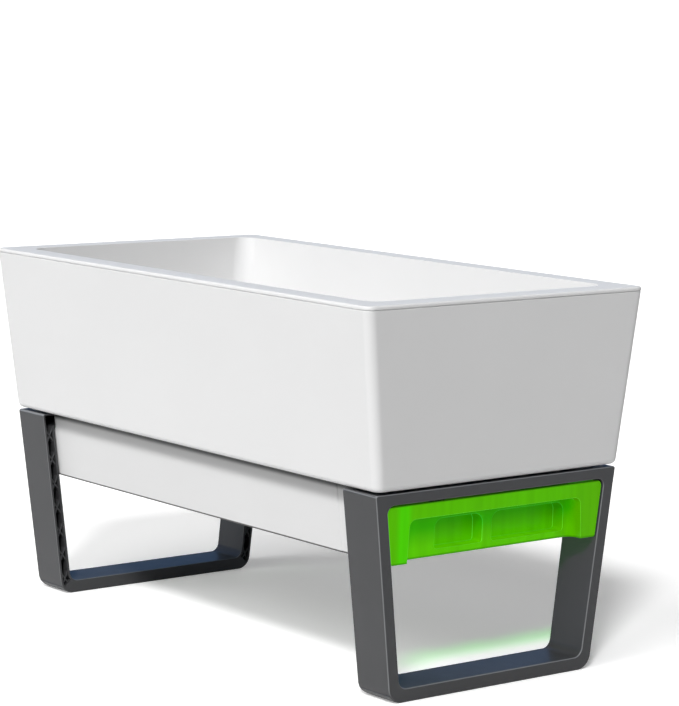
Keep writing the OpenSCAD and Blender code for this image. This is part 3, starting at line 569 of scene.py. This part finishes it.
# Its tone is a little darker than the shell's, as painted shade that keeps the upward rim from looking as
# bright as the lamps make it.
liner_shaded_white = moulded_finish("liner_polypropylene", (0.71, 0.71, 0.71, 1), mottle=0.012,
    grain_scale=1100, grain_depth=0.04 * mm, gloss=0.42, gloss_spread=0.06, Specular_IOR_Level=0.12)[0]
moulded_copy("liner_moulding", "soil_liner", "planter", liner_shaded_white, liner_edge_r)

# Wick pots
# Four perforated pots of black polypropylene that hang in the liner's floor and hold the wicks'
# upper ends.
pot_edge_r = 0.4 * mm
black = moulded_finish("black_polypropylene", (0.03, 0.032, 0.035, 1), mottle=0.06,
    grain_scale=1500, grain_depth=0.04 * mm, gloss=0.45, gloss_spread=0.08)[0]
for number in range(1, 5):
    moulded_copy(f"pot_moulding_{number}", f"wick_pot_{number}", "planter", black, pot_edge_r)

# Wicks
# Strips of pressed grey-white felt. Each stands in its pot, goes through the slot in the pot's floor
# and hangs into the tray, where it draws the water up.
felt_steps = (10, 90, 4)
felt_sharp = math.radians(50)
felt_bow = 0.4 * mm
corner_loss, edge_waver, face_swell = 0.18, 0.02, 0.05
pot_base_z = 295.5 * mm


def felt_strip(low, high, bow):
    """Points of a felt strip between two corners, as rings round its section along its height. Its half
    thickness loses corner_loss at its edges and changes by a sine of height and place, its half width
    wavers by another, and it bows sideways by bow times a squared sine of its height."""
    across, along, deep = felt_steps
    a = np.linspace(-1, 1, across + 1)
    d = np.linspace(-1, 1, deep + 1)
    ring = np.concatenate([np.stack([a, -np.ones_like(a)], 1), np.stack([np.ones_like(d), d], 1)[1:],
        np.stack([a[::-1], np.ones_like(a)], 1)[1:], np.stack([-np.ones_like(d), d[::-1]], 1)[1:-1]])
    side, face = ring[:, 0], ring[:, 1]
    t = np.linspace(0, 1, along + 1)[:, None]
    half_w, half_t = (high[1] - low[1]) / 2, (high[0] - low[0]) / 2
    rounding = 1 - corner_loss * (np.abs(side) ** 8)[None, :]
    waver = 1 - edge_waver * (1 + np.sin(19 * t + 2 * side)) * np.abs(side)
    swell = 1 - face_swell * (1 + np.sin(47 * t + 5 * side + 3 * face))
    y = side * half_w * waver
    x = face * half_t * swell * rounding + bow * np.sin(math.pi * t) ** 2
    z = low[2] + (high[2] - low[2]) * t + 0 * y
    return np.stack([x + (low[0] + high[0]) / 2, y + (low[1] + high[1]) / 2, z], 2)


def felt_piece(name, low, high, bow):
    """A felt strip as a closed piece: quads between neighbouring rings, and one face at each end."""
    points = felt_strip(low, high, bow)
    rings, count = points.shape[:2]
    ends = [list(range(count))[::-1], list(range((rings - 1) * count, rings * count))]
    return new_piece(name, points, ring_faces(rings, count, False).tolist() + ends, felt, sharp=felt_sharp)


felt, tree, shader = new_finish("pressed_felt", Sheen_Weight=0.5, Sheen_Roughness=0.6, Roughness=0.95)
felt_tones = ((0.3, (0.42, 0.41, 0.38, 1)), (0.7, (0.74, 0.73, 0.70, 1)))
fibre_place = add_node(tree, "ShaderNodeMapping", [("Vector", place_on(tree))], in_Scale=(1, 1, 0.35))
fibres = add_node(tree, "ShaderNodeTexNoise", [("Vector", fibre_place.outputs[0])], in_Scale=1600.0,
    in_Detail=6.0, in_Distortion=1.5)
nap = add_node(tree, "ShaderNodeBump", [("Height", fibres.outputs["Fac"])], in_Distance=0.6 * mm)
tree.links.new(tone_ramp(tree, fibres.outputs["Fac"], felt_tones), shader.inputs["Base Color"])
tree.links.new(nap.outputs[0], shader.inputs["Normal"])
for number, joint in ((1, "tray_left_slide"), (2, "tray_left_slide"), (3, "tray_right_slide"),
                      (4, "tray_right_slide")):
    low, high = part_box(f"wick_{number}")
    head = felt_piece(f"wick_head_{number}", (low.x, low.y, pot_base_z), high, 0)
    tail = felt_piece(f"wick_tail_{number}", low, (high.x, high.y, pot_base_z), felt_bow)
    for piece in (head, tail):
        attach(piece, "planter")
    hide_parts(f"wick_{number}")
    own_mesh(tail)

# Water trays
# One open tank from each end, moulded in see-through green, with a front that fills the frame's
# window and is hollowed out for the fingers. Its flange slides on the aprons' rails.
tray_top_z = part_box("water_tray_right")[1].z
tray_edge_r = 0.45 * mm
recess_back_x, recess_lip_x, tank_x = 457.5 * mm, 468 * mm, 428 * mm
front_half_w = 210 * mm
pocket_fade_z, foot_line_z = (218 * mm, 248 * mm), (205 * mm, 206.4 * mm)
brow_drop, brow_glow = (2.4 * mm, 1.2 * mm), 0.1
tank_blend, tank_glow = 3 * mm, 0.3
level_start, level_end = 0.2, 0.6
streak_scale, streak_stretch, streak_depth = 70.0, (0.3, 1, 0.06), 0.12
green_tone, green_shine, green_cast = (0.045, 0.25, 0, 1), (0.1, 0.8, 0, 1), (0.45, 0.97, 0.42, 1)
green_by_floor = (0.08, 0.11, 0.07, 1)
plain, pocket_tones = (1, 1, 1, 1), ((0.0, (1.14, 1.22, 1, 1)), (1.0, (0.25, 0.72, 1, 1)))
front_tones = ((0.0, (0.052, 0.28, 0, 1)), (0.045, (0.052, 0.28, 0, 1)), (0.07, (0.033, 0.40, 0, 1)),
    (0.095, (0.033, 0.40, 0, 1)), (0.125, (0.055, 0.29, 0, 1)), (0.8, (0.052, 0.27, 0, 1)),
    (1.0, (0.055, 0.21, 0, 1)))
edge_highlight_tones = ((0.0, (0.12, 0.54, 0.02, 1)), (0.14, (0.14, 0.70, 0.05, 1)), (1.0, (0.11, 0.46, 0.02, 1)))


def see_through(name, foot_glow, level_glow, tones):
    """Green see-through plastic. The light that comes through it is painted as a glow for the camera alone,
    whose tone goes along the front by tones, turns by pocket_tones in the depth of the grip pockets, and is
    streaked upright. Painted shade lowers the glow to foot_glow at the very foot, to level_glow where the
    surface faces up, to brow_glow under the top edge and to tank_glow on the tank. Shadows are tinted, and
    light that bounces off the floor meets a duller tone."""
    finish, tree, shader = moulded_finish(name, green_tone, mottle=0.03, grain_scale=700,
        grain_depth=0.01 * mm, gloss=0.3, gloss_spread=0.06, IOR=1.46, Transmission_Weight=0.05,
        Specular_IOR_Level=0.2, Specular_Tint=green_shine, Emission_Strength=1.0)
    paint = shader.inputs["Base Color"]
    ray = add_node(tree, "ShaderNodeLightPath").outputs
    place = place_on(tree)
    x, y, z = axes_of(tree, place)
    outward = add_node(tree, "ShaderNodeMath", [(0, x)], operation="ABSOLUTE").outputs[0]
    glow_tone = tone_ramp(tree, between(tree, y, -front_half_w, front_half_w), tones)
    deep = between(tree, outward, recess_back_x, recess_lip_x, 1.0, 0.0)
    pocket_tone = tone_ramp(tree, between(tree, z, *pocket_fade_z), pocket_tones)
    glow_tone = tinted(tree, glow_tone, mixed(tree, deep, plain, pocket_tone))
    upright = add_node(tree, "ShaderNodeMapping", [("Vector", place)], in_Scale=streak_stretch)
    streaks = add_node(tree, "ShaderNodeTexNoise", [("Vector", upright.outputs[0])],
        in_Scale=streak_scale, in_Detail=3.0)
    streak = between(tree, streaks.outputs["Fac"], noise_low, noise_high, 1 - streak_depth,
        1 + streak_depth)
    # Painted shade: the glow drops at the foot, on faces that look up, on the tank and under the top edge.
    foot = between(tree, z, *foot_line_z, foot_glow, 1.0)
    level = between(tree, facing_up(tree), level_start, level_end, 1.0, level_glow)
    tank = between(tree, outward, tank_x - tank_blend, tank_x, tank_glow, 1.0)
    brow = between(tree, z, tray_top_z - brow_drop[0], tray_top_z - brow_drop[1], 1.0, brow_glow)
    strength = product(tree, streak, foot, level, tank, brow, ray["Is Camera Ray"])
    tree.links.new(tinted(tree, glow_tone, strength), shader.inputs["Emission Color"])
    tree.links.new(mixed(tree, ray["Is Diffuse Ray"], paint.links[0].from_socket, green_by_floor), paint)
    shadow = add_node(tree, "ShaderNodeBsdfTransparent", in_Color=green_cast)
    cast = add_node(tree, "ShaderNodeMixShader", [(0, ray["Is Shadow Ray"]), (1, shader.outputs[0]),
        (2, shadow.outputs[0])])
    tree.links.new(cast.outputs[0], tree.nodes["Material Output"].inputs["Surface"])
    return finish


green = see_through("green_translucent", 0.45, 1.0, front_tones)
# Painted highlight: the trays' rounded edges wear a paler, brighter copy of the glow.
green_edge_highlight = see_through("green_translucent_edge_highlight", 0.25, 0.42, edge_highlight_tones)
for side in ("left", "right"):
    tray = moulded_copy(f"tray_moulding_{side}", f"water_tray_{side}", f"tray_{side}", green,
        tray_edge_r)
    tray.data.materials.append(green_edge_highlight)
    tray.modifiers["rounded edges"].material = 1

# Floor, light and camera
# A plain pale floor, a lamp from the near right, wide soft ones from the front and the back, a pale
# sky, and a camera at the photograph's own viewpoint.
floor_reach = 14
floor_bounce, floor_lift = 0.45, 0.23
floor_mesh = bpy.data.meshes.new("floor")
floor_mesh.from_pydata([(-floor_reach, -floor_reach, 0), (floor_reach, -floor_reach, 0),
    (floor_reach, floor_reach, 0), (-floor_reach, floor_reach, 0)], [], [(0, 1, 2, 3)])
floor = placed("floor", floor_mesh)
floor_finish, tree, shader = new_finish("pale_floor", Roughness=0.7, Specular_IOR_Level=0.0,
    Emission_Color=(1, 1, 1, 1))
ray = add_node(tree, "ShaderNodeLightPath").outputs
floor_tone = between(tree, ray["Is Diffuse Ray"], 0.0, 1.0, 1.0, floor_bounce)
tree.links.new(floor_tone, shader.inputs["Base Color"])
lift = between(tree, ray["Is Camera Ray"], 0.0, 1.0, 0.0, floor_lift)
tree.links.new(lift, shader.inputs["Emission Strength"])
floor_mesh.materials.append(floor_finish)


def soft_sun(name, toward, power, spread):
    """A distant lamp that shines along toward, with a disc of the angle spread."""
    data = bpy.data.lights.new(name, "SUN")
    data.energy = power
    data.angle = math.radians(spread)
    lamp = placed(name, data)
    lamp.rotation_euler = Vector(toward).to_track_quat("-Z", "Y").to_euler()
    return lamp


soft_sun("key", toward=(-0.765, 0.8, -1), power=2.1, spread=9)
soft_sun("front_fill", toward=(0, 1.25, -1), power=2.15, spread=50)
back_fill = soft_sun("back_fill", toward=(0.55, -0.8, -0.1), power=1.2, spread=50)
back_fill.visible_glossy = False

sky_seen, sky_light, sky_shine, sky_shine_tone = 1.1, 0.12, 0.3, (0.35, 0.7, 1.4, 1)
world = bpy.data.worlds.new("studio")
bpy.context.scene.world = world
world.use_nodes = True
tree = world.node_tree
tree.nodes.clear()
ray = add_node(tree, "ShaderNodeLightPath").outputs
seen = add_node(tree, "ShaderNodeBackground", in_Color=(1, 1, 1, 1), in_Strength=sky_seen)
lit = add_node(tree, "ShaderNodeBackground", [
    ("Color", mixed(tree, ray["Is Glossy Ray"], (1, 1, 1, 1), sky_shine_tone)),
    ("Strength", between(tree, ray["Is Glossy Ray"], 0.0, 1.0, sky_light, sky_shine))])
either = add_node(tree, "ShaderNodeMixShader", [(0, ray["Is Camera Ray"]), (1, lit.outputs[0]),
    (2, seen.outputs[0])])
add_node(tree, "ShaderNodeOutputWorld", [("Surface", either.outputs[0])])
bpy.context.scene.view_settings.view_transform = "Standard"

image_w, image_h = 679, 706
eye = Vector((3.45244, -2.61167, 1.01248))
aim = Vector((0.04377, 0, 0.44712))
focal_px, middle_px = 2750.85, (318.63, 352.27)
roll = 0.01401
sight = (aim - eye).normalized()
right = sight.cross(Vector((0, 0, 1))).normalized()
up = right.cross(sight)
across = right * math.cos(roll) + up * math.sin(roll)
upward = up * math.cos(roll) - right * math.sin(roll)
lens = bpy.data.cameras.new("camera")
lens.sensor_width = 36
lens.lens = focal_px * lens.sensor_width / image_h
lens.shift_x = (image_w / 2 - middle_px[0]) / image_h
lens.shift_y = (middle_px[1] - image_h / 2) / image_h
camera = placed("camera", lens)
camera.matrix_world = Matrix((across, upward, -sight)).transposed().to_4x4()
camera.location = eye
bpy.context.scene.camera = camera
